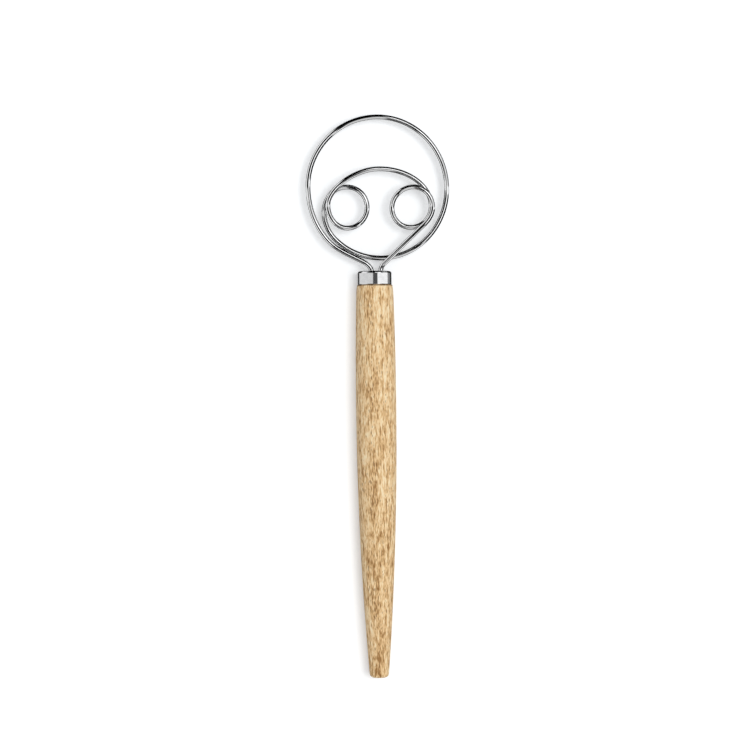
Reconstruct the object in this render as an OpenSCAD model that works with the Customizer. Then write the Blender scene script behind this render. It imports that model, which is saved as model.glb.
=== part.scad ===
// Dough whisk: a turned wooden handle, a drawn steel ferrule and a head bent from one round steel wire.
// The origin is the centre of the handle's flat butt face. +Y runs along the handle to the head,
// +X is to the right and +Z points away from the side that the whisk lies on.

/* [Wire] */
// Diameter of the head's wire
wire_d = 3; // [2.6:0.1:3.2]
// Clear space left between two passes of the wire where they cross
lay_gap = 0.4; // [0.4:0.1:0.8]
// Distance between the centres of the two legs
leg_span = 5.85; // [5.2:0.05:6.4]
// Sideways offset of the pair of legs from the handle's axis
leg_shift = 1; // [-1:0.1:1.2]
// Length of each leg below the ferrule's top
leg_depth = 42; // [30:1:50]

/* [Outer ring] */
// Width of the outer ring, between wire centres
ring_w = 86.3; // [84:0.1:96]
// Height of the outer ring, between wire centres
ring_h = 87.8; // [86:0.1:98]
// Sideways offset of the ring from the handle's axis
ring_shift = 2.4; // [1:0.1:4]
// Height of the ring's lowest wire centre above the ferrule's top
ring_rise = 8.3; // [8:0.1:11]

/* [Inner loops] */
// Width of each eye, between wire centres
eye_w = 24.4; // [22:0.1:26]
// Height of the left eye, between wire centres
left_eye_h = 25.7; // [23:0.1:27]
// Height of the right eye, between wire centres
right_eye_h = 25; // [23:0.1:27]
// Distance between the centres of the two eyes
eye_span = 39.8; // [38:0.1:42]
// Sideways offset of the pair of eyes from the ring's centre
eye_shift = 1.2; // [0:0.1:2]
// Height of the eyes' lowest wire centres above the ring's lowest wire centre
eye_rise = 18.7; // [17:0.1:20]
// Height of the arch over the eyes above the ring's lowest wire centre
arch_rise = 55.3; // [54:0.1:62]
// How far the incoming pass lies outside the left eye
left_pass = 2.5; // [2:0.1:3.2]
// How far the outgoing pass lies outside the right eye
right_pass = 0.9; // [0.5:0.1:1.6]

/* [Handle] */
// Length of the handle from its butt face to the shoulder under the ferrule
handle_l = 244; // [200:1:280]
// Greatest diameter of the handle
belly_d = 25; // [23.4:0.1:30]
// Distance of the greatest diameter from the butt face
belly_y = 170; // [140:1:190]
// Diameter that the taper reaches at the butt face
butt_d = 11.7; // [9:0.1:20]
// Radius of the rounded edge at the butt
butt_edge_r = 2.6; // [1:0.1:4]
// Diameter of the handle at its shoulder
shoulder_d = 22; // [21.8:0.1:22.6]
// Length over which the handle rounds in to its shoulder
shoulder_ease_l = 5.5; // [3:0.5:10]
// How far each side rounds in over that length
shoulder_ease = 0.35; // [0.1:0.05:0.6]
// Radius of the rounded edge at the shoulder
shoulder_edge_r = 0.8; // [0.3:0.1:1]
// Room in the handle's bore between a leg and the bore's wall
bore_room = 0.5; // [0.4:0.1:1]
// Depth of the bore past the ends of the legs
bore_spare = 4.5; // [2:0.5:12]

/* [Ferrule] */
// Outer diameter of the ferrule
ferrule_d = 21; // [20.4:0.1:21.6]
// Length of the ferrule
ferrule_l = 8.5; // [6:0.1:14]
// Wall thickness of the ferrule
ferrule_wall = 0.6; // [0.4:0.1:1]
// Outer radius of the ferrule's rounded top edge
ferrule_edge_r = 1.3; // [1.1:0.1:2]
// Radius of the ferrule's rounded lower edge
ferrule_lip_r = 0.4; // [0.1:0.1:0.5]

/* [Fits] */
// Clearance all round between the tenon and the ferrule
tenon_fit = 0.05; // [0.03:0.01:0.15]
// Clearance all round between a leg and its hole in the ferrule
leg_hole_fit = 0.15; // [0.1:0.05:0.3]
// Thickness of the bond line left all round a leg and the adhesive plug
bond_fit = 0.05; // [0.03:0.01:0.1]

/* [Hidden] */

ferrule_top = handle_l + ferrule_l;
tenon_r = ferrule_d / 2 - ferrule_wall - tenon_fit;
tenon_end = ferrule_top - ferrule_wall - tenon_fit;
leg_end = ferrule_top - leg_depth;
left_leg_x = leg_shift - leg_span / 2;
right_leg_x = leg_shift + leg_span / 2;
leg_sides = [left_leg_x, right_leg_x];
bore_d = 2 * abs(leg_shift) + leg_span + wire_d + 2 * bore_room;
bore_floor = leg_end - bore_spare;

// Diameter that the head's taper would reach at the shoulder if it didn't round in there
head_d = shoulder_d + 2 * shoulder_ease;

ring_bottom = ferrule_top + ring_rise;
ring_y = ring_bottom + ring_h / 2;
ring_left = ring_shift - ring_w / 2;
ring_right = ring_shift + ring_w / 2;

eye_mid = ring_shift + eye_shift;
left_x = eye_mid - eye_span / 2;
right_x = eye_mid + eye_span / 2;
eye_bottom = ring_bottom + eye_rise;
left_y = eye_bottom + left_eye_h / 2;
right_y = eye_bottom + right_eye_h / 2;
eye_r = eye_w / 2;
arch_y = ring_bottom + arch_rise;

// One layer is the rise that lets the wire pass over itself
layer = wire_d + lay_gap;

// Bends of the left leg: across and up from the leg, then across and up from the ring's left and foot
left_bend = [5.9, 6.5];
left_run_end = [23.6, 2.9];
ring_start = [11.8, 11.5];

// How far the ring's left, right and foot stations lie off its middle lines
ring_left_skew = 0.5;
ring_right_skew = 1;
ring_foot_skew = 2;

// Bends before and after the left eye: across and up from its centre, its edge, the ring's foot or the arch
eye_run = [7.7, 11.8];
outer_pass_drop = 3;
eye_entry = [0.6, 7.3];
eye_top_skew = 0.2;
eye_foot_skew = 0.4;
eye_exit_rise = 1.4;
arch_start = [0.6, 6.6];

// Bends of the right eye: how far its stations lie off its middle lines
right_in_rise = 0.6;
right_foot_skew = 0.6;
right_left_drop = 0.5;
right_top_skew = 1.4;
right_out_drop = 0.4;

// The straight return: across and up from the right eye's foot, then from the right leg
return_top_at = [7.7, 1.6];
return_foot_at = [1.8, 4.5];
return_top = [right_x, eye_bottom] + return_top_at;
return_foot = [right_leg_x, ferrule_top] + return_foot_at;
return_run = return_foot - return_top;
return_turn = atan2(return_run[1], return_run[0]) - 1080;

// Stations along the wire's centre line: x, y, heading in degrees and level in layers
STATIONS = [
    [left_leg_x, leg_end, 90, 0],
    [left_leg_x, ferrule_top, 90, 0],
    [left_leg_x - left_bend[0], ferrule_top + left_bend[1], 153, 0],
    [ring_left + left_run_end[0], ring_bottom + left_run_end[1], 153, 0],
    [ring_left + ring_start[0], ring_bottom + ring_start[1], 131, -0.02],
    [ring_left, ring_y + ring_left_skew, 90, -0.15],
    [ring_shift, ring_bottom + ring_h, 0, -0.35],
    [ring_right, ring_y - ring_right_skew, -90, -0.5],
    [ring_shift + ring_foot_skew, ring_bottom, -180, -0.65],
    [left_x - eye_run[0], ring_bottom + eye_run[1], -225, -0.62],
    [left_x - eye_r - left_pass, left_y - outer_pass_drop, -270, -0.55],
    [left_x - eye_r + eye_entry[0], left_y + eye_entry[1], -303, -0.5],
    [left_x - eye_top_skew, eye_bottom + left_eye_h, -360, -0.4],
    [left_x + eye_r, left_y, -450, -0.1],
    [left_x - eye_foot_skew, eye_bottom, -540, 0.2],
    [left_x - eye_r, left_y + eye_exit_rise, -630, 0.48],
    [left_x - arch_start[0], arch_y - arch_start[1], -687, 0.55],
    [eye_mid, arch_y, -720, 0.2],
    [right_x + eye_r, right_y + right_in_rise, -810, -0.25],
    [right_x - right_foot_skew, eye_bottom, -900, 0],
    [right_x - eye_r, right_y - right_left_drop, -990, 0.4],
    [right_x + right_top_skew, eye_bottom + right_eye_h, -1080, 0.75],
    [right_x + eye_r + right_pass, right_y - right_out_drop, -1170, 0.88],
    [return_top[0], return_top[1], return_turn, 0.92],
    [return_foot[0], return_foot[1], return_turn, 0.25],
    [right_leg_x, ferrule_top, -1170, 0],
    [right_leg_x, leg_end, -1170, 0]
];

// Greatest turn and greatest length between two rings of the wire, and sides of each ring
TURN_STEP = 6;
RUN_STEP = 6;
WIRE_SIDES = 12;

// Sides of the turned and drawn pieces, and steps of their rounded edges and taper
ROUND = 96;
EDGE_STEPS = 6;
TAPER_STEPS = 12;

// How late the handle's taper sets in towards the butt and towards the head
BUTT_TAPER = 2.05;
HEAD_TAPER = 2.2;

// Overlap that lets a hole cut through a face
CUT = 1;

function unit(v) = v / norm(v);
function toward(a) = [cos(a), sin(a)];
function cross_2d(a, b) = a[0] * b[1] - a[1] * b[0];

// Point at share k of the arc that leaves a and reaches b along their headings
function bend_point(a, b, k) =
    let (
        p = [a[0], a[1]],
        q = [b[0], b[1]],
        u = toward(a[2]),
        v = toward(b[2]),
        turn = b[2] - a[2]
    )
    abs(turn) < 0.01 ? p + k * (q - p) :
    let (
        corner = p + u * cross_2d(q - p, v) / cross_2d(u, v),
        w = 2 * k * (1 - k) * cos(turn / 2)
    )
    (pow(1 - k, 2) * p + w * corner + k * k * q) / (pow(1 - k, 2) + w + k * k);

function station_gap(i) =
    norm([STATIONS[i + 1][0] - STATIONS[i][0], STATIONS[i + 1][1] - STATIONS[i][1]]);

// Slope of the level at station i, level for one millimetre
function level_slope(i) =
    i == 0 || i == len(STATIONS) - 1 ? 0 :
    (STATIONS[i + 1][3] - STATIONS[i - 1][3]) / (station_gap(i - 1) + station_gap(i));

// Level at share k between stations i and i + 1
function level_at(i, k) =
    let (
        run = station_gap(i),
        rise = STATIONS[i + 1][3] - STATIONS[i][3],
        out = level_slope(i) * run,
        in = level_slope(i + 1) * run
    )
    STATIONS[i][3] + k * out + k * k * (3 * rise - 2 * out - in) + pow(k, 3) * (out + in - 2 * rise);

function steps_of(i, finer) =
    finer * max(
        ceil(abs(STATIONS[i + 1][2] - STATIONS[i][2]) / TURN_STEP),
        ceil(station_gap(i) / RUN_STEP)
    );

function route(finer) = concat(
    [
        for (i = [0 : len(STATIONS) - 2])
            let (n = steps_of(i, finer))
            for (j = [0 : n - 1])
                let (p = bend_point(STATIONS[i], STATIONS[i + 1], j / n))
                [p[0], p[1], layer * level_at(i, j / n)]
    ],
    [[right_leg_x, leg_end, 0]]
);

WIRE = route(1);
LAST = len(WIRE) - 1;

function run_at(i) = unit(WIRE[min(i + 1, LAST)] - WIRE[max(i - 1, 0)]);
function side_at(i) = unit(cross(run_at(i), [0, 0, 1]));
function up_at(i) = cross(side_at(i), run_at(i));

function ring_point(i, k) =
    WIRE[i] + wire_d / 2 * (cos(k * 360 / WIRE_SIDES) * side_at(i) + sin(k * 360 / WIRE_SIDES) * up_at(i));

// Least clear space between passes of the wire, on points set 1.5 mm apart or closer
FINE = route(4);
LOOP_SKIP = 26;
least_gap = min([
    for (i = [0 : len(FINE) - 1])
        for (j = [i + LOOP_SKIP : len(FINE) - 1])
            norm(FINE[i] - FINE[j])
]) - wire_d;
echo(least_gap = least_gap);

function arc(cx, cy, r, from, to, n) =
    [for (i = [0 : n]) [cx + r * cos(from + (to - from) * i / n), cy + r * sin(from + (to - from) * i / n)]];

// Radius of the turned handle at distance y from the butt
function handle_r(y) =
    y < belly_y ?
        belly_d / 2 - (belly_d - butt_d) / 2 * pow((belly_y - y) / belly_y, BUTT_TAPER) :
        belly_d / 2 - (belly_d - head_d) / 2 * pow((y - belly_y) / (handle_l - belly_y), HEAD_TAPER)
            - shoulder_ease * pow(max(0, 1 - (handle_l - y) / shoulder_ease_l), 2);

module along_handle() {
    rotate([-90, 0, 0])
        children();
}

module leg_holes(fit, from, to) {
    for (x = leg_sides)
        translate([x, 0, from])
            cylinder(d = wire_d + 2 * fit, h = to - from, $fn = ROUND);
}

module whisk_wire() {
    points = [for (i = [0 : LAST]) for (k = [0 : WIRE_SIDES - 1]) ring_point(i, k)];
    walls = [
        for (i = [0 : LAST - 1])
            for (k = [0 : WIRE_SIDES - 1])
                let (
                    n = (k + 1) % WIRE_SIDES,
                    a = i * WIRE_SIDES,
                    b = a + WIRE_SIDES
                )
                each [[a + k, b + k, b + n], [a + k, b + n, a + n]]
    ];
    start = [for (k = [0 : WIRE_SIDES - 1]) k];
    end = [for (k = [WIRE_SIDES - 1 : -1 : 0]) LAST * WIRE_SIDES + k];
    color("silver")
        polyhedron(points = points, faces = concat(walls, [start, end]));
}

module ferrule() {
    r = ferrule_d / 2;
    inner_edge_r = ferrule_edge_r - ferrule_wall;
    lip_r = min(ferrule_lip_r, ferrule_wall);
    outline = concat(
        [[r - ferrule_wall, handle_l]],
        arc(r - lip_r, handle_l + lip_r, lip_r, -90, 0, EDGE_STEPS),
        arc(r - ferrule_edge_r, ferrule_top - ferrule_edge_r, ferrule_edge_r, 0, 90, EDGE_STEPS),
        [[0, ferrule_top], [0, ferrule_top - ferrule_wall]],
        arc(r - ferrule_edge_r, ferrule_top - ferrule_edge_r, inner_edge_r, 90, 0, EDGE_STEPS)
    );
    color("lightgray")
        along_handle()
            difference() {
                rotate_extrude($fn = ROUND)
                    polygon(outline);
                leg_holes(leg_hole_fit, ferrule_top - ferrule_wall - CUT, ferrule_top + CUT);
            }
}

module handle() {
    butt_r = handle_r(butt_edge_r);
    tenon_edge_r = ferrule_edge_r - ferrule_wall;
    ease_y = handle_l - shoulder_ease_l;
    shoulder_y = handle_l - shoulder_edge_r;
    heights = concat(
        [for (i = [1 : TAPER_STEPS]) butt_edge_r + (belly_y - butt_edge_r) * i / TAPER_STEPS],
        [for (i = [1 : TAPER_STEPS]) belly_y + (ease_y - belly_y) * i / TAPER_STEPS],
        [for (i = [1 : EDGE_STEPS - 1]) ease_y + (shoulder_y - ease_y) * i / EDGE_STEPS]
    );
    outline = concat(
        [[0, 0]],
        arc(butt_r - butt_edge_r, butt_edge_r, butt_edge_r, -90, 0, EDGE_STEPS),
        [for (y = heights) [handle_r(y), y]],
        arc(handle_r(shoulder_y) - shoulder_edge_r, shoulder_y, shoulder_edge_r, 0, 90, EDGE_STEPS),
        [[tenon_r, handle_l]],
        arc(tenon_r - tenon_edge_r, tenon_end - tenon_edge_r, tenon_edge_r, 0, 90, EDGE_STEPS),
        [[0, tenon_end]]
    );
    color("burlywood")
        along_handle()
            difference() {
                rotate_extrude($fn = ROUND)
                    polygon(outline);
                translate([0, 0, bore_floor])
                    cylinder(d = bore_d, h = tenon_end + CUT - bore_floor, $fn = ROUND);
            }
}

module adhesive_plug() {
    color("ivory")
        along_handle()
            difference() {
                translate([0, 0, bore_floor])
                    cylinder(d = bore_d, h = tenon_end - bore_floor, $fn = ROUND);
                leg_holes(bond_fit, leg_end - bond_fit, tenon_end + CUT);
            }
}

whisk_wire();
ferrule();
handle();
adhesive_plug();
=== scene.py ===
import math

import bpy
from mathutils import Matrix, Vector


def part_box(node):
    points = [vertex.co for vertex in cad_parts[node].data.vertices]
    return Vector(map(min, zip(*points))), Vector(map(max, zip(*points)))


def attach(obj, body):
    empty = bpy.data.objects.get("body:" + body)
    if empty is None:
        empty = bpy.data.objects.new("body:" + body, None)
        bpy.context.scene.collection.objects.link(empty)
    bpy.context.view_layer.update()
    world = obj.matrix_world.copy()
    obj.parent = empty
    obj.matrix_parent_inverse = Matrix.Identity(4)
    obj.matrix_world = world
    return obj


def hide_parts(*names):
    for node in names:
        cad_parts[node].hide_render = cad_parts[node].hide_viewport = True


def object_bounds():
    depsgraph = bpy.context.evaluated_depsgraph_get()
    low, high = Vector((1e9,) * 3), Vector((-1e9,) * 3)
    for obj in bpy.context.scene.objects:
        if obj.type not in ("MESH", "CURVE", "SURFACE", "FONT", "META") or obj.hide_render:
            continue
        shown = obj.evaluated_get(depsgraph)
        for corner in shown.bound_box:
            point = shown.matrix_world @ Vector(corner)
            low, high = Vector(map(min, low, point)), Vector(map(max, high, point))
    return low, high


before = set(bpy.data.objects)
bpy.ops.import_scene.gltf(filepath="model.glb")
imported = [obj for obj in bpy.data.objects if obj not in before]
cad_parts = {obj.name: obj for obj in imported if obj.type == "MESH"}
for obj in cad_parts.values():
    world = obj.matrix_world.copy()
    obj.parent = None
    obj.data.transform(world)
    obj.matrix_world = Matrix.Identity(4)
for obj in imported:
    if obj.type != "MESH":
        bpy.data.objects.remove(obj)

CAD_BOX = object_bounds()

# Sizes are in millimetres, and points become metres when a mesh or a curve is made
MM = 0.001


def box_mm(node):
    low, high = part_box(node)
    return low / MM, high / MM


# Places that the frame gives
WIRE_LOW, WIRE_HIGH = box_mm("whisk_wire")
FERRULE_LOW, FERRULE_HIGH = box_mm("ferrule")
HANDLE_HIGH = box_mm("handle")[1]
PLUG_LOW, PLUG_HIGH = box_mm("adhesive_plug")
FERRULE_TOP = FERRULE_HIGH.y
SHOULDER = FERRULE_LOW.y
FERRULE_RADIUS = FERRULE_HIGH.x
BELLY_RADIUS = HANDLE_HIGH.x
TENON_END = HANDLE_HIGH.y
BORE_RADIUS = PLUG_HIGH.x
BORE_FLOOR = PLUG_LOW.y
LEG_END = WIRE_LOW.y
FLOOR = CAD_BOX[0][2] / MM

# The wire and its loops
WIRE_RADIUS = 1.5
LAYER = 3.4
LEG_SHIFT = 1.0
LEG_SPAN = 5.85
RING_RISE = 8.3
EYE_WIDTH = 24.4
LEFT_EYE_HEIGHT = 25.7
RIGHT_EYE_HEIGHT = 25.0
EYE_SPAN = 39.8
EYE_SHIFT = 1.2
EYE_RISE = 18.7
ARCH_RISE = 55.3
LEFT_PASS = 2.5
RIGHT_PASS = 0.9

# Bends of the left leg: across and up from the leg, then across and up from the ring's left and foot
LEFT_BEND = (5.9, 6.5)
LEFT_RUN_END = (23.6, 2.9)
RING_START = (11.8, 11.5)

# How far the ring's left, right and foot stations lie off its middle lines
RING_LEFT_SKEW = 0.5
RING_RIGHT_SKEW = 1.0
RING_FOOT_SKEW = 2.0

# Bends before and after the left eye: across and up from its centre, its edge, the ring's foot or the arch
EYE_RUN = (7.7, 11.8)
OUTER_PASS_DROP = 3.0
EYE_ENTRY = (0.6, 7.3)
EYE_TOP_SKEW = 0.2
EYE_FOOT_SKEW = 0.4
EYE_EXIT_RISE = 1.4
ARCH_START = (0.6, 6.6)

# Bends of the right eye: how far its stations lie off its middle lines
RIGHT_IN_RISE = 0.6
RIGHT_FOOT_SKEW = 0.6
RIGHT_LEFT_DROP = 0.5
RIGHT_TOP_SKEW = 1.4
RIGHT_OUT_DROP = 0.4

# The straight return: across and up from the right eye's foot, then from the right leg
RETURN_TOP = (7.7, 1.6)
RETURN_FOOT = (1.8, 4.5)

# The heading has gone round three full turns, clockwise, when the wire comes back to the ferrule
THREE_TURNS = 1080

# The handle and the ferrule
BELLY_PLACE = 170.0
BUTT_RADIUS = 5.85
BUTT_EDGE = 2.6
SHOULDER_RADIUS = 11.0
SHOULDER_EASE_LENGTH = 5.5
SHOULDER_EASE = 0.35
SHOULDER_EDGE = 0.8
BUTT_TAPER = 2.05
HEAD_TAPER = 2.2
FERRULE_WALL = 0.6
FERRULE_EDGE = 1.3
FERRULE_LIP = 0.4
LEG_HOLE_FIT = 0.15

# Where a straight run starts beside a rounded edge, so that the edge's shading doesn't reach into it
SUPPORT = 0.1

# How far the drill for the legs reaches below and above the ferrule's top
DRILL_BELOW = 3.0
DRILL_ABOVE = 2.0

# Fineness: the wire's greatest turn in degrees and length between two rings, and the sides of a ring
TURN_STEP = 1.5
RUN_STEP = 1.5
WIRE_SIDES = 28
ROUND_SIDES = 128
HOLE_SIDES = 48

# Fineness: steps of each rounded edge, of the handle's taper and of its ease at the shoulder
BUTT_STEPS = 10
TAPER_STEPS = 96
EASE_STEPS = 12
SHOULDER_STEPS = 8
TENON_STEPS = 6
FERRULE_INNER_STEPS = 8
FERRULE_LIP_STEPS = 8
FERRULE_EDGE_STEPS = 12

# Angles in degrees from which an edge is shaded sharp
HANDLE_CREASE = 40
FERRULE_CREASE = 30

# The radius under which a ring is a pole, and the turn in radians under which a run of wire is straight
POLE = 0.0001
STRAIGHT = 0.0002


# Shader and geometry nodes


class Field:
    """A socket in an expression, where each sum or product with it adds a Math node."""

    def __init__(self, tree, socket):
        self.tree = tree
        self.socket = socket

    def math(self, operation, first, second=None):
        made = self.tree.node("ShaderNodeMath", {"operation": operation}, {0: first})
        if second is not None:
            self.tree.plug(made.inputs[1], second)
        return Field(self.tree, made.outputs[0])

    def __add__(self, other):
        return self.math("ADD", self, other)

    def __radd__(self, other):
        return self.math("ADD", other, self)

    def __sub__(self, other):
        return self.math("SUBTRACT", self, other)

    def __rsub__(self, other):
        return self.math("SUBTRACT", other, self)

    def __mul__(self, other):
        return self.math("MULTIPLY", self, other)

    def __rmul__(self, other):
        return self.math("MULTIPLY", other, self)

    def __pow__(self, other):
        return self.math("POWER", self, other)

    def sine(self):
        return self.math("SINE", self)

    def unsigned(self):
        return self.math("ABSOLUTE", self)

    def most(self, other):
        return self.math("MAXIMUM", self, other)


class Tree:
    """A node tree, and the one way in which its nodes are made."""

    def __init__(self, nodes_and_links):
        self.raw = nodes_and_links

    def plug(self, socket, value):
        if isinstance(value, Field):
            self.raw.links.new(value.socket, socket)
        elif isinstance(value, bpy.types.NodeSocket):
            self.raw.links.new(value, socket)
        else:
            socket.default_value = value

    def node(self, kind, settings=None, sockets=None):
        made = self.raw.nodes.new(kind)
        for name, value in (settings or {}).items():
            if name == "stops":
                self.set_stops(made.color_ramp, value)
            else:
                setattr(made, name, value)
        for name, value in (sockets or {}).items():
            self.plug(made.inputs[name], value)
        return made

    def set_stops(self, ramp, stops):
        while len(ramp.elements) < len(stops):
            ramp.elements.new(0.5)
        for element, (place, colour) in zip(ramp.elements, stops):
            element.position = place
            element.color = colour

    def field(self, kind, settings=None, sockets=None, output=0):
        return Field(self, self.node(kind, settings, sockets).outputs[output])

    def between(self, value, low, high, start=0.0, end=1.0):
        """A smooth step from start to end while value goes from low to high."""
        sockets = {"Value": value, "From Min": low, "From Max": high, "To Min": start, "To Max": end}
        return self.field("ShaderNodeMapRange", {"interpolation_type": "SMOOTHSTEP"}, sockets)

    def mix_colour(self, share, first, second):
        return self.field("ShaderNodeMix", {"data_type": "RGBA"}, {0: share, 6: first, 7: second}, output=2)

    def vector(self, operation, first, second, output=0):
        return self.field("ShaderNodeVectorMath", {"operation": operation}, {0: first, 1: second}, output)

    def mapped(self, vector, scale, shift=(0.0, 0.0, 0.0)):
        sockets = {"Vector": vector, "Scale": scale, "Location": shift}
        return self.field("ShaderNodeMapping", {}, sockets)

    def noise(self, vector, detail=2.0, roughness=0.5):
        sockets = {"Vector": vector, "Scale": 1.0, "Detail": detail, "Roughness": roughness}
        return self.field("ShaderNodeTexNoise", {}, sockets)


def linear(red, green, blue):
    """Linear colour of an sRGB colour given in 0 to 255."""
    def channel(value):
        share = value / 255
        return share / 12.92 if share <= 0.04045 else ((share + 0.055) / 1.055) ** 2.4
    return (channel(red), channel(green), channel(blue), 1.0)


def new_material(name):
    material = bpy.data.materials.new(name)
    material.use_nodes = True
    tree = Tree(material.node_tree)
    shader = material.node_tree.nodes["Principled BSDF"]
    return material, tree, shader


# The wire's route


def toward(degrees):
    return Vector((math.cos(math.radians(degrees)), math.sin(math.radians(degrees))))


def cross_2d(a, b):
    return a.x * b.y - a.y * b.x


def bend_point(start, end, share):
    """Point of the arc that leaves start and reaches end along their headings."""
    p = Vector(start[:2])
    q = Vector(end[:2])
    turn = math.radians(end[2] - start[2])
    if abs(turn) < STRAIGHT:
        return p.lerp(q, share)
    leaving = toward(start[2])
    reaching = toward(end[2])
    corner = p + leaving * (cross_2d(q - p, reaching) / cross_2d(leaving, reaching))
    near = (1 - share) ** 2
    pull = 2 * share * (1 - share) * math.cos(turn / 2)
    far = share ** 2
    return (near * p + pull * corner + far * q) / (near + pull + far)


def wire_stations():
    """Stations of the centre line: x, y, heading in degrees and level in layers."""
    ring_x = (WIRE_LOW.x + WIRE_HIGH.x) / 2
    ring_left = WIRE_LOW.x + WIRE_RADIUS
    ring_right = WIRE_HIGH.x - WIRE_RADIUS
    ring_bottom = FERRULE_TOP + RING_RISE
    ring_top = WIRE_HIGH.y - WIRE_RADIUS
    ring_y = (ring_bottom + ring_top) / 2
    left_leg = LEG_SHIFT - LEG_SPAN / 2
    right_leg = LEG_SHIFT + LEG_SPAN / 2
    eye_mid = ring_x + EYE_SHIFT
    left_x = eye_mid - EYE_SPAN / 2
    right_x = eye_mid + EYE_SPAN / 2
    eye_bottom = ring_bottom + EYE_RISE
    left_y = eye_bottom + LEFT_EYE_HEIGHT / 2
    right_y = eye_bottom + RIGHT_EYE_HEIGHT / 2
    eye_r = EYE_WIDTH / 2
    arch_y = ring_bottom + ARCH_RISE
    return_top = Vector((right_x + RETURN_TOP[0], eye_bottom + RETURN_TOP[1]))
    return_foot = Vector((right_leg + RETURN_FOOT[0], FERRULE_TOP + RETURN_FOOT[1]))
    return_run = return_foot - return_top
    return_turn = math.degrees(math.atan2(return_run.y, return_run.x)) - THREE_TURNS
    return [
        (left_leg, LEG_END, 90, 0),
        (left_leg, FERRULE_TOP, 90, 0),
        (left_leg - LEFT_BEND[0], FERRULE_TOP + LEFT_BEND[1], 153, 0),
        (ring_left + LEFT_RUN_END[0], ring_bottom + LEFT_RUN_END[1], 153, 0),
        (ring_left + RING_START[0], ring_bottom + RING_START[1], 131, -0.02),
        (ring_left, ring_y + RING_LEFT_SKEW, 90, -0.15),
        (ring_x, ring_top, 0, -0.35),
        (ring_right, ring_y - RING_RIGHT_SKEW, -90, -0.5),
        (ring_x + RING_FOOT_SKEW, ring_bottom, -180, -0.65),
        (left_x - EYE_RUN[0], ring_bottom + EYE_RUN[1], -225, -0.62),
        (left_x - eye_r - LEFT_PASS, left_y - OUTER_PASS_DROP, -270, -0.55),
        (left_x - eye_r + EYE_ENTRY[0], left_y + EYE_ENTRY[1], -303, -0.5),
        (left_x - EYE_TOP_SKEW, eye_bottom + LEFT_EYE_HEIGHT, -360, -0.4),
        (left_x + eye_r, left_y, -450, -0.1),
        (left_x - EYE_FOOT_SKEW, eye_bottom, -540, 0.2),
        (left_x - eye_r, left_y + EYE_EXIT_RISE, -630, 0.48),
        (left_x - ARCH_START[0], arch_y - ARCH_START[1], -687, 0.55),
        (eye_mid, arch_y, -720, 0.2),
        (right_x + eye_r, right_y + RIGHT_IN_RISE, -810, -0.25),
        (right_x - RIGHT_FOOT_SKEW, eye_bottom, -900, 0),
        (right_x - eye_r, right_y - RIGHT_LEFT_DROP, -990, 0.4),
        (right_x + RIGHT_TOP_SKEW, eye_bottom + RIGHT_EYE_HEIGHT, -1080, 0.75),
        (right_x + eye_r + RIGHT_PASS, right_y - RIGHT_OUT_DROP, -1170, 0.88),
        (return_top.x, return_top.y, return_turn, 0.92),
        (return_foot.x, return_foot.y, return_turn, 0.25),
        (right_leg, FERRULE_TOP, -1170, 0),
        (right_leg, LEG_END, -1170, 0),
    ]


def wire_route():
    """Points of the centre line, with levels that ease from station to station."""
    stations = wire_stations()
    gaps = [
        (Vector(b[:2]) - Vector(a[:2])).length
        for a, b in zip(stations, stations[1:])
    ]
    slopes = [0.0]
    for i in range(1, len(stations) - 1):
        slopes.append((stations[i + 1][3] - stations[i - 1][3]) / (gaps[i - 1] + gaps[i]))
    slopes.append(0.0)
    points = []
    for i, (start, end) in enumerate(zip(stations, stations[1:])):
        steps = max(math.ceil(abs(end[2] - start[2]) / TURN_STEP), math.ceil(gaps[i] / RUN_STEP))
        rise = end[3] - start[3]
        leaving = slopes[i] * gaps[i]
        reaching = slopes[i + 1] * gaps[i]
        for j in range(steps):
            k = j / steps
            at = bend_point(start, end, k)
            level = start[3] + k * leaving
            level += k ** 2 * (3 * rise - 2 * leaving - reaching)
            level += k ** 3 * (leaving + reaching - 2 * rise)
            points.append(Vector((at.x, at.y, LAYER * level)))
    last = stations[-1]
    points.append(Vector((last[0], last[1], LAYER * last[3])))
    return points


def link(thing):
    bpy.context.scene.collection.objects.link(thing)
    return thing


def mesh_object(name, points, faces):
    mesh = bpy.data.meshes.new(name)
    mesh.from_pydata([Vector(p) * MM for p in points], [], faces)
    mesh.update()
    return link(bpy.data.objects.new(name, mesh))


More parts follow.
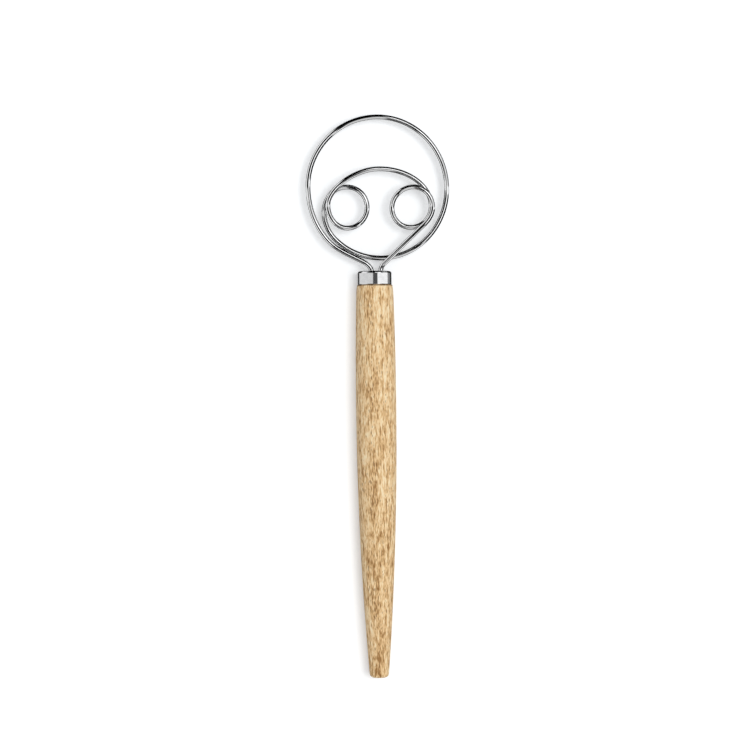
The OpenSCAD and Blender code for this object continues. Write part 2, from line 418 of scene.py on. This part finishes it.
def bent_wire_tree():
    """Geometry nodes that draw round wire along a curve and note where each point of it lies."""
    group = bpy.data.node_groups.new("bent_wire", "GeometryNodeTree")
    inside = {}
    for name, kind in (
        ("Route", "NodeSocketGeometry"),
        ("Wire radius", "NodeSocketFloat"),
        ("Sides", "NodeSocketInt"),
        ("Finish", "NodeSocketMaterial"),
    ):
        item = group.interface.new_socket(name, in_out="INPUT", socket_type=kind)
        inside[name] = item.identifier
    group.interface.new_socket("Wire", in_out="OUTPUT", socket_type="NodeSocketGeometry")
    tree = Tree(group)
    given = tree.node("NodeGroupInput").outputs
    length = tree.node("GeometryNodeSplineParameter").outputs["Length"]
    marked = tree.node(
        "GeometryNodeStoreNamedAttribute",
        {"data_type": "FLOAT", "domain": "POINT"},
        {"Geometry": given["Route"], "Name": "along", "Value": length},
    )
    level = tree.node(
        "GeometryNodeSetCurveNormal", {"mode": "MINIMUM_TWIST"}, {"Curve": marked.outputs[0]},
    )
    circle = tree.node(
        "GeometryNodeCurvePrimitiveCircle", {"mode": "RADIUS"},
        {"Resolution": given["Sides"], "Radius": given["Wire radius"]},
    )
    place = tree.node("GeometryNodeInputPosition").outputs[0]
    section = tree.node(
        "GeometryNodeStoreNamedAttribute",
        {"data_type": "FLOAT_VECTOR", "domain": "POINT"},
        {"Geometry": circle.outputs[0], "Name": "around", "Value": place},
    )
    swept = tree.node(
        "GeometryNodeCurveToMesh", {},
        {"Curve": level.outputs[0], "Profile Curve": section.outputs[0], "Fill Caps": True},
    )
    smooth = tree.node(
        "GeometryNodeSetShadeSmooth", {}, {"Geometry": swept.outputs[0], "Shade Smooth": True},
    )
    real = tree.node("GeometryNodeRealizeInstances", {}, {"Geometry": smooth.outputs[0]})
    finished = tree.node(
        "GeometryNodeSetMaterial", {}, {"Geometry": real.outputs[0], "Material": given["Finish"]},
    )
    tree.node("NodeGroupOutput", {}, {"Wire": finished.outputs[0]})
    return group, inside


def as_plain_mesh(thing, name):
    """A new object that holds what thing's modifiers make of it."""
    graph = bpy.context.evaluated_depsgraph_get()
    mesh = bpy.data.meshes.new_from_object(thing.evaluated_get(graph))
    mesh.name = name
    bpy.data.objects.remove(thing)
    return link(bpy.data.objects.new(name, mesh))


def make_wire(finish):
    points = wire_route()
    route = bpy.data.curves.new("wire_route", "CURVE")
    route.dimensions = "3D"
    spline = route.splines.new("POLY")
    spline.points.add(len(points) - 1)
    for spot, point in zip(spline.points, points):
        spot.co = (*(point * MM), 1.0)
    carrier = link(bpy.data.objects.new("wire_carrier", route))
    group, inside = bent_wire_tree()
    bend = carrier.modifiers.new("bent_wire", "NODES")
    bend.node_group = group
    bend[inside["Wire radius"]] = WIRE_RADIUS * MM
    bend[inside["Sides"]] = WIRE_SIDES
    bend[inside["Finish"]] = finish
    return as_plain_mesh(carrier, "bent_wire")


# Turned and drawn pieces


def arc(x, y, radius, start, end, steps):
    turns = [math.radians(start + (end - start) * i / steps) for i in range(steps + 1)]
    return [(x + radius * math.cos(t), y + radius * math.sin(t)) for t in turns]


def turned(name, outline, sides=ROUND_SIDES):
    """A solid of revolution about the Y axis, from (radius, y) points that start and end at a pole."""
    points = []
    rings = []
    for radius, y in outline:
        if radius < POLE:
            points.append((0.0, y, 0.0))
            rings.append([len(points) - 1] * sides)
            continue
        ring = []
        for k in range(sides):
            angle = 2 * math.pi * k / sides
            points.append((radius * math.cos(angle), y, radius * math.sin(angle)))
            ring.append(len(points) - 1)
        rings.append(ring)
    faces = []
    for low, high in zip(rings, rings[1:]):
        for k in range(sides):
            n = (k + 1) % sides
            corners = [low[k], high[k], high[n], low[n]]
            face = [c for i, c in enumerate(corners) if c not in corners[:i]]
            if len(face) > 2:
                faces.append(face)
    made = mesh_object(name, points, faces)
    made.data.shade_smooth()
    return made


def handle_radius(y):
    if y < BELLY_PLACE:
        drop = (BELLY_PLACE - y) / BELLY_PLACE
        return BELLY_RADIUS - (BELLY_RADIUS - BUTT_RADIUS) * drop ** BUTT_TAPER
    drop = (y - BELLY_PLACE) / (SHOULDER - BELLY_PLACE)
    radius = BELLY_RADIUS - (BELLY_RADIUS - SHOULDER_RADIUS - SHOULDER_EASE) * drop ** HEAD_TAPER
    return radius - SHOULDER_EASE * max(0, 1 - (SHOULDER - y) / SHOULDER_EASE_LENGTH) ** 2


def make_handle(finish):
    tenon_radius = FERRULE_RADIUS - FERRULE_WALL - (FERRULE_TOP - FERRULE_WALL - TENON_END)
    tenon_edge = FERRULE_EDGE - FERRULE_WALL
    ease_start = SHOULDER - SHOULDER_EASE_LENGTH
    taper_end = SHOULDER - SHOULDER_EDGE
    outline = [(0.0, 0.0)]
    outline += arc(handle_radius(BUTT_EDGE) - BUTT_EDGE, BUTT_EDGE, BUTT_EDGE, -90, 0, BUTT_STEPS)
    for start, end, steps in ((BUTT_EDGE, ease_start, TAPER_STEPS), (ease_start, taper_end, EASE_STEPS)):
        heights = [start + (end - start) * i / steps for i in range(1, steps)]
        outline += [(handle_radius(y), y) for y in heights]
    outline += arc(
        handle_radius(taper_end) - SHOULDER_EDGE, taper_end, SHOULDER_EDGE, 0, 90, SHOULDER_STEPS,
    )
    outline.append((tenon_radius, SHOULDER))
    outline += arc(tenon_radius - tenon_edge, TENON_END - tenon_edge, tenon_edge, 0, 90, TENON_STEPS)
    outline += [(BORE_RADIUS, TENON_END), (BORE_RADIUS, BORE_FLOOR), (0.0, BORE_FLOOR)]
    made = turned("turned_handle", outline)
    made.data.set_sharp_from_angle(angle=math.radians(HANDLE_CREASE))
    made.data.materials.append(finish)
    return made


def make_ferrule(finish):
    inner = FERRULE_RADIUS - FERRULE_WALL
    bend_x = FERRULE_RADIUS - FERRULE_EDGE
    bend_y = FERRULE_TOP - FERRULE_EDGE
    outline = [(0.0, FERRULE_TOP - FERRULE_WALL)]
    outline += arc(bend_x, bend_y, FERRULE_EDGE - FERRULE_WALL, 90, 0, FERRULE_INNER_STEPS)
    outline.append((inner, SHOULDER))
    lip_x = FERRULE_RADIUS - FERRULE_LIP
    outline += arc(lip_x, SHOULDER + FERRULE_LIP, FERRULE_LIP, -90, 0, FERRULE_LIP_STEPS)
    outline.append((FERRULE_RADIUS, SHOULDER + FERRULE_LIP + SUPPORT))
    outline.append((FERRULE_RADIUS, bend_y - SUPPORT))
    outline += arc(bend_x, bend_y, FERRULE_EDGE, 0, 90, FERRULE_EDGE_STEPS)
    outline.append((bend_x - SUPPORT, FERRULE_TOP))
    outline.append((0.0, FERRULE_TOP))
    made = turned("drawn_ferrule", outline)
    radius = WIRE_RADIUS + LEG_HOLE_FIT
    low = FERRULE_TOP - DRILL_BELOW
    high = FERRULE_TOP + DRILL_ABOVE
    for side in (-1, 1):
        x = LEG_SHIFT + side * LEG_SPAN / 2
        drill = turned("drill", [(0.0, low), (radius, low), (radius, high), (0.0, high)], HOLE_SIDES)
        drill.data.transform(Matrix.Translation((x * MM, 0, 0)))
        cut = made.modifiers.new("leg_hole", "BOOLEAN")
        cut.operation = "DIFFERENCE"
        cut.solver = "EXACT"
        cut.object = drill
        made = as_plain_mesh(made, "drawn_ferrule")
        bpy.data.objects.remove(drill)
    made.data.shade_smooth()
    made.data.set_sharp_from_angle(angle=math.radians(FERRULE_CREASE))
    made.data.materials.clear()
    made.data.materials.append(finish)
    return made


# Finishes

BRIGHT_WIRE = (0.86, 0.865, 0.87, 1.0)
HANDLED_WIRE = (0.78, 0.785, 0.795, 1.0)
BRIGHT_SHEET = (0.74, 0.745, 0.75, 1.0)
HANDLED_SHEET = (0.66, 0.665, 0.675, 1.0)

# Marks on steel, in cells of noise to the metre: across, across and along the wire for its own, and across,
# along and across the handle's axis for the ferrule's
DIE_LINES = (6000.0, 6000.0, 60.0)
WIRE_MARKS = (500.0, 500.0, 130.0)
LATHE_LINES = (150.0, 9000.0, 150.0)
SHEET_MARKS = (400.0, 400.0, 400.0)
POLISH_DEPTH = 0.00001

# Wood: a tone between 0 and 1 picks a colour between these
WOOD_COLOURS = (
    (0.37, linear(162, 119, 71)),
    (0.45, linear(219, 179, 127)),
    (0.52, linear(246, 212, 162)),
    (0.60, linear(255, 236, 198)),
)
PORE_COLOUR = linear(134, 95, 56)
# The colour of the painted shade in the groove under the ferrule's lip
SHOULDER_SHADE_COLOUR = linear(112, 84, 56)

# Grain, in cells of noise to the millimetre: across the handle, along it and across it
SWAY = (0.05, 0.012, 0.05)
WANDER = (0.35, 0.05, 0.35)
BROAD_BANDS = (0.22, 0.02, 0.22)
FLECKS = (0.85, 0.13, 0.85)
FIBRES = (1.7, 0.30, 1.7)
PORES = (1.1, 0.22, 1.1)
PORE_CROWDS = (0.5, 0.08, 0.5)
GRAIN_DEPTH = 0.00012

# The tree's pith beside the butt, how it leans along the handle, and the width of a year's growth
PITH_X = -16.0
PITH_Z = 44.0
PITH_LEAN_X = 0.02
PITH_LEAN_Z = -0.045
YEAR = 4.6

# The darker heart stripe: its offset at the shoulder, and how it leans towards the butt
HEART_OFFSET = 3.0
HEART_LEAN = 0.012

# Painted shade on the end of the wood under the ferrule, for the groove below its lip: where it starts and
# is full, below the shoulder
SHOULDER_SHADE_START = 1.1
SHOULDER_SHADE_FULL = 0.5

# Set resin, in cells to the metre
RESIN_CLOUDS = (220.0, 220.0, 220.0)
RESIN_BUBBLES = (900.0, 900.0, 900.0)
RESIN_PALE = linear(226, 216, 184)
RESIN_DEEP = linear(204, 190, 150)
BUBBLE_COLOUR = linear(160, 146, 112)
RESIN_DEPTH = 0.0001


def wire_steel():
    """Bright drawn wire: fine die lines along it and soft handling marks."""
    material, tree, shader = new_material("bright_wire_steel")
    along = tree.field("ShaderNodeAttribute", {"attribute_name": "along"}, output=2)
    around = tree.field("ShaderNodeAttribute", {"attribute_name": "around"}, output=1)
    run = tree.field("ShaderNodeCombineXYZ", {}, {"Z": along})
    place = tree.vector("ADD", around, run)
    die_lines = tree.noise(tree.mapped(place, DIE_LINES))
    marks = tree.noise(tree.mapped(place, WIRE_MARKS), detail=4.0, roughness=0.6)
    roughness = 0.02 + 0.03 * tree.between(marks, 0.35, 0.7) + 0.01 * die_lines
    tree.plug(shader.inputs["Roughness"], roughness)
    dull = tree.between(marks, 0.45, 0.75)
    colour = tree.mix_colour(dull, BRIGHT_WIRE, HANDLED_WIRE)
    tree.plug(shader.inputs["Base Color"], colour)
    shader.inputs["Metallic"].default_value = 1.0
    sockets = {"Strength": 0.02, "Distance": POLISH_DEPTH, "Height": die_lines}
    bump = tree.node("ShaderNodeBump", {}, sockets)
    tree.plug(shader.inputs["Normal"], bump.outputs[0])
    return material


def ferrule_steel():
    """Polished sheet with faint lines round it from polishing on the lathe."""
    material, tree, shader = new_material("polished_ferrule_steel")
    place = tree.field("ShaderNodeTexCoord", {}, output=3)
    lines = tree.noise(tree.mapped(place, LATHE_LINES), detail=3.0)
    marks = tree.noise(tree.mapped(place, SHEET_MARKS), detail=4.0, roughness=0.6)
    roughness = 0.05 + 0.04 * lines + 0.04 * tree.between(marks, 0.4, 0.75)
    tree.plug(shader.inputs["Roughness"], roughness)
    colour = tree.mix_colour(tree.between(marks, 0.4, 0.8), BRIGHT_SHEET, HANDLED_SHEET)
    tree.plug(shader.inputs["Base Color"], colour)
    shader.inputs["Metallic"].default_value = 1.0
    sockets = {"Strength": 0.02, "Distance": POLISH_DEPTH, "Height": lines}
    bump = tree.node("ShaderNodeBump", {}, sockets)
    tree.plug(shader.inputs["Normal"], bump.outputs[0])
    return material


def handle_wood():
    """Pale open-pored wood: weak growth bands, a dark heart stripe, and flecks and pores along the grain,
    with painted shade towards the butt and in the groove under the ferrule's lip.
    """
    material, tree, shader = new_material("pale_oak")
    place = tree.mapped(tree.field("ShaderNodeTexCoord", {}, output=3), (1 / MM, 1 / MM, 1 / MM))
    parts = tree.node("ShaderNodeSeparateXYZ", {}, {0: place}).outputs
    x, y, z = (Field(tree, part) for part in parts)

    sway = tree.noise(tree.mapped(place, SWAY), detail=3.0, roughness=0.55)
    wander = tree.noise(tree.mapped(place, WANDER), detail=4.0, roughness=0.65)
    across = x - (PITH_X + PITH_LEAN_X * y)
    away = z - (PITH_Z + PITH_LEAN_Z * y)
    radius = (across * across + away * away) ** 0.5 + 9.0 * sway + 5.0 * wander
    band = 0.5 + 0.5 * (radius * (2 * math.pi / YEAR)).sine()
    early = tree.between(band, 0.2, 1.0)

    from_shoulder = SHOULDER - y
    off_heart = x + HEART_OFFSET - HEART_LEAN * from_shoulder + 5.0 * (sway - 0.5) + 2.5 * (wander - 0.5)
    heart = 1 - tree.between(off_heart.unsigned(), 0.8, 3.6)

    broad = tree.noise(tree.mapped(place, BROAD_BANDS))
    flecks = tree.noise(tree.mapped(place, FLECKS), roughness=0.6)
    fibres = tree.noise(tree.mapped(place, FIBRES, shift=(3.0, 9.0, 1.0)), roughness=0.6)
    tone = 0.10 * broad + 0.48 * flecks + 0.42 * fibres
    # The last term is painted shade: the wood grows darker towards the butt, for light that falls off along
    # the handle
    tone = tone + 0.035 * (0.5 - early) - 0.030 * heart - 0.00007 * from_shoulder
    wood = tree.node("ShaderNodeValToRGB", {"stops": WOOD_COLOURS}, {0: tone}).outputs[0]

    cells = tree.node(
        "ShaderNodeTexVoronoi", {"feature": "F1"},
        {"Vector": tree.mapped(place, PORES), "Scale": 1.0, "Randomness": 1.0},
    ).outputs
    chance = tree.noise(tree.mapped(place, PORE_CROWDS, shift=(7.0, 3.0, 5.0)), detail=3.0)
    size = 0.06 + 0.22 * tree.between(chance, 0.38, 0.68) + 0.10 * early + 0.12 * heart
    pore = 1 - tree.between(Field(tree, cells[0]), size * 0.55, size)
    colour = tree.mix_colour(0.85 * pore, wood, PORE_COLOUR)
    # Painted shade: the wood darkens in patches just below the shoulder, in the groove under the ferrule's
    # lip
    shoulder_shade = tree.between(y, SHOULDER - SHOULDER_SHADE_START, SHOULDER - SHOULDER_SHADE_FULL)
    shoulder_shade = shoulder_shade * tree.between(wander, 0.36, 0.60, 0.45, 0.95)
    colour = tree.mix_colour(shoulder_shade, colour, SHOULDER_SHADE_COLOUR)
    tree.plug(shader.inputs["Base Color"], colour)
    tree.plug(shader.inputs["Roughness"], 0.55 + 0.12 * fibres + 0.15 * pore)
    height = 0.35 * fibres + 0.3 * flecks - 0.9 * pore
    sockets = {"Strength": 0.35, "Distance": GRAIN_DEPTH, "Height": height}
    bump = tree.node("ShaderNodeBump", {}, sockets)
    tree.plug(shader.inputs["Normal"], bump.outputs[0])
    shader.inputs["Specular IOR Level"].default_value = 0.3
    return material


def set_adhesive():
    """Set resin: cloudy, off-white, with small bubbles."""
    material, tree, shader = new_material("set_resin")
    place = tree.field("ShaderNodeTexCoord", {}, output=3)
    cloud = tree.noise(tree.mapped(place, RESIN_CLOUDS), detail=4.0)
    bubbles = tree.node(
        "ShaderNodeTexVoronoi", {"feature": "F1"},
        {"Vector": tree.mapped(place, RESIN_BUBBLES), "Scale": 1.0},
    ).outputs[0]
    bubble = 1 - tree.between(Field(tree, bubbles), 0.12, 0.2)
    colour = tree.mix_colour(cloud, RESIN_PALE, RESIN_DEEP)
    tree.plug(shader.inputs["Base Color"], tree.mix_colour(0.5 * bubble, colour, BUBBLE_COLOUR))
    tree.plug(shader.inputs["Roughness"], 0.35 + 0.25 * cloud)
    sockets = {"Strength": 0.4, "Distance": RESIN_DEPTH, "Height": cloud - bubble}
    bump = tree.node("ShaderNodeBump", {}, sockets)
    tree.plug(shader.inputs["Normal"], bump.outputs[0])
    return material


# Floor, light and camera

# Light from all round, and from the window overhead, on a level surface
FILL = 0.40
MAIN = 0.54

# The window: heading and elevation in degrees, distance and width in metres
LIGHT_HEADING = 3.0
LIGHT_ELEVATION = 75.0
LIGHT_DISTANCE = 8.0
LIGHT_SIZE = 4.0
LIGHT_AIM = (0.0, 0.190, 0.0)

# The floor: its half width in millimetres, its colour, and what the camera sees on top of its own light
FLOOR_REACH = 3000.0
PAPER = (0.88, 0.90, 0.92, 1.0)
FLOOR_LIFT = 0.28

# The camera: straight above, so that the photograph's frame is VIEW_WIDTH wide at the whisk's own height
SENSOR = 36.0
CAMERA_PLACE = (-0.00049, 0.188, 1.5)
CAMERA_ROLL = -0.0121
VIEW_WIDTH = 0.46635

# What a mirror sees is a dark room. Azimuth, elevation, half width, half height, softness of the edge and
# brightness of each lit wall or window, later ones over earlier ones
ROOM_PATCHES = (
    (177, 10, 52, 24, 4, 1.06),
    (134, 0, 10, 18, 4, 1.16),
    (-121, 0, 9, 26, 5, 0.34),
    (-106, 14, 9, 38, 5, 0.13),
    (-78, 20, 20, 50, 4, 0.68),
    (-53, 4, 7, 26, 3, 1.12),
    (22, 9, 23, 19, 5, 0.48),
    (-24, 59, 22, 9, 4, 2.30),
    (18, 53, 26, 10, 4, 1.75),
    (44, 61, 12, 11, 4, 2.15),
    (66, 69, 14, 7, 4, 2.60),
)

# Strips of the room that the ferrule's straight wall mirrors: lean from the zenith towards +X, half width,
# softness and brightness. They lie about a plane square to the handle's axis and tilted to +Y by
# STRIP_TILT, and reach STRIP_REACH to each side of it
ROOM_STRIPS = (
    (5, 20, 3, 0.10),
    (-70, 59, 3, 0.86),
    (112, 16, 8, 0.30),
    (60, 40, 3, 1.20),
)
STRIP_TILT = 2.2
STRIP_REACH = 3.0

# The lamp in the room: azimuth and elevation, outer and inner angle of its edge, and brightness
ROOM_LAMP = (-102, 78)
LAMP_EDGE = (6.5, 3.5)
LAMP_GLOW = 1.3

# The room's floor: where it starts to show and is full, in degrees of elevation, and brightness
ROOM_FLOOR = (-45, -65)
ROOM_FLOOR_GLOW = 0.12


def sin_of(degrees):
    return math.sin(math.radians(degrees))


def cos_of(degrees):
    return math.cos(math.radians(degrees))


def heading(azimuth, elevation):
    return Vector((*(toward(azimuth) * cos_of(elevation)), sin_of(elevation)))


def make_floor():
    far = FLOOR_REACH
    corners = [(-far, -far, FLOOR), (far, -far, FLOOR), (far, far, FLOOR), (-far, far, FLOOR)]
    floor = mesh_object("floor", corners, [[0, 1, 2, 3]])
    material = bpy.data.materials.new("white_paper")
    material.use_nodes = True
    material.node_tree.nodes.clear()
    tree = Tree(material.node_tree)
    path = tree.node("ShaderNodeLightPath").outputs
    paper = tree.node("ShaderNodeBsdfDiffuse", {}, {"Color": PAPER})
    seen = Field(tree, path["Is Camera Ray"]).most(Field(tree, path["Is Glossy Ray"]))
    seen = seen.most(Field(tree, path["Is Transmission Ray"]))
    lift = tree.node("ShaderNodeEmission", {}, {"Strength": FLOOR_LIFT * seen})
    both = tree.node("ShaderNodeAddShader", {}, {0: paper.outputs[0], 1: lift.outputs[0]})
    tree.node("ShaderNodeOutputMaterial", {}, {"Surface": both.outputs[0]})
    floor.data.materials.append(material)
    floor.visible_glossy = False


def part_along(tree, direction, axis):
    return tree.vector("DOT_PRODUCT", direction, axis, output=1)


def within(tree, value, half, soft):
    """Mask that is 1 where value's size is under half, both in radians, with an edge soft degrees wide."""
    blur = math.radians(soft)
    return tree.between(value.unsigned(), half - blur, half + blur, 1.0, 0.0)


def patch(tree, direction, azimuth, elevation, half_width, half_height, soft):
    """Mask of one area of the room, round a heading given in degrees."""
    ahead = toward(azimuth)
    front = part_along(tree, direction, (ahead.x, ahead.y, 0.0))
    side = part_along(tree, direction, (-ahead.y, ahead.x, 0.0))
    up = part_along(tree, direction, (0.0, 0.0, 1.0))
    turn = side.math("ARCTAN2", side, front)
    rise = up.math("ARCSINE", up) - math.radians(elevation)
    wide = within(tree, turn, math.radians(half_width), soft)
    return wide * within(tree, rise, math.radians(half_height), soft)


def strip(tree, direction, lean, half_width, soft):
    """Mask of one strip of the room, round a lean from the zenith given in degrees."""
    axis = part_along(tree, direction, (0.0, 1.0, 0.0))
    side = part_along(tree, direction, (1.0, 0.0, 0.0))
    up = part_along(tree, direction, (0.0, 0.0, 1.0))
    turn = side.math("ARCTAN2", side, up) - math.radians(lean)
    off = (axis - sin_of(STRIP_TILT)).unsigned()
    reach = sin_of(STRIP_REACH)
    wide = within(tree, turn, math.radians(half_width), soft)
    return wide * tree.between(off, 0.7 * reach, 1.2 * reach, 1.0, 0.0)


def make_world():
    """White for the camera, plain light for the surfaces, and the lit room for mirrors."""
    world = bpy.data.worlds.new("room")
    bpy.context.scene.world = world
    world.use_nodes = True
    world.node_tree.nodes.clear()
    tree = Tree(world.node_tree)
    path = tree.node("ShaderNodeLightPath").outputs
    direction = tree.field("ShaderNodeTexCoord", {}, output=0)
    up = part_along(tree, direction, (0.0, 0.0, 1.0))
    room = tree.between(up, sin_of(ROOM_FLOOR[1]), sin_of(ROOM_FLOOR[0]), ROOM_FLOOR_GLOW, 0.0)
    for mask_of, areas in ((patch, ROOM_PATCHES), (strip, ROOM_STRIPS)):
        for *area, brightness in areas:
            room = room + (brightness - room) * mask_of(tree, direction, *area)
    near_lamp = part_along(tree, direction, tuple(heading(*ROOM_LAMP)))
    room = room + LAMP_GLOW * tree.between(near_lamp, cos_of(LAMP_EDGE[0]), cos_of(LAMP_EDGE[1]))
    mirror = Field(tree, path["Is Glossy Ray"]).most(Field(tree, path["Is Transmission Ray"]))
    camera = Field(tree, path["Is Camera Ray"])
    plain = FILL * (1 - mirror) + room * mirror
    strength = plain * (1 - camera) + camera
    shine = tree.node("ShaderNodeBackground", {}, {"Color": (1.0, 1.0, 1.0, 1.0), "Strength": strength})
    tree.node("ShaderNodeOutputWorld", {}, {"Surface": shine.outputs[0]})


def make_light():
    """The window overhead, at the power that gives MAIN on a level surface, and not seen in mirrors."""
    lamp = bpy.data.lights.new("window", "AREA")
    lamp.shape = "DISK"
    lamp.size = LIGHT_SIZE
    back = heading(LIGHT_HEADING, LIGHT_ELEVATION)
    lamp.energy = MAIN * math.pi ** 2 * LIGHT_DISTANCE ** 2 / sin_of(LIGHT_ELEVATION)
    holder = link(bpy.data.objects.new("window", lamp))
    holder.location = Vector(LIGHT_AIM) + back * LIGHT_DISTANCE
    holder.rotation_euler = back.to_track_quat("Z", "Y").to_euler()
    holder.visible_glossy = False


def make_camera():
    """Straight above the whisk and turned a little, as the photograph is."""
    lens = bpy.data.cameras.new("camera")
    lens.sensor_width = SENSOR
    lens.lens = SENSOR * CAMERA_PLACE[2] / VIEW_WIDTH
    holder = link(bpy.data.objects.new("camera", lens))
    holder.location = CAMERA_PLACE
    holder.rotation_euler = (0.0, 0.0, CAMERA_ROLL)
    bpy.context.scene.camera = holder


# The whisk

PIECES = (
    (make_wire, wire_steel, "whisk_wire", "wire"),
    (make_ferrule, ferrule_steel, "ferrule", "ferrule"),
    (make_handle, handle_wood, "handle", "handle"),
)

make_camera()
make_floor()
make_world()
make_light()

for make, finish, node, slot in PIECES:
    piece = make(finish())
    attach(piece, "root")
    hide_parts(node)

for plug_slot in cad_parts["adhesive_plug"].material_slots:
    plug_slot.material = set_adhesive()

bpy.context.scene.view_settings.view_transform = "Standard"
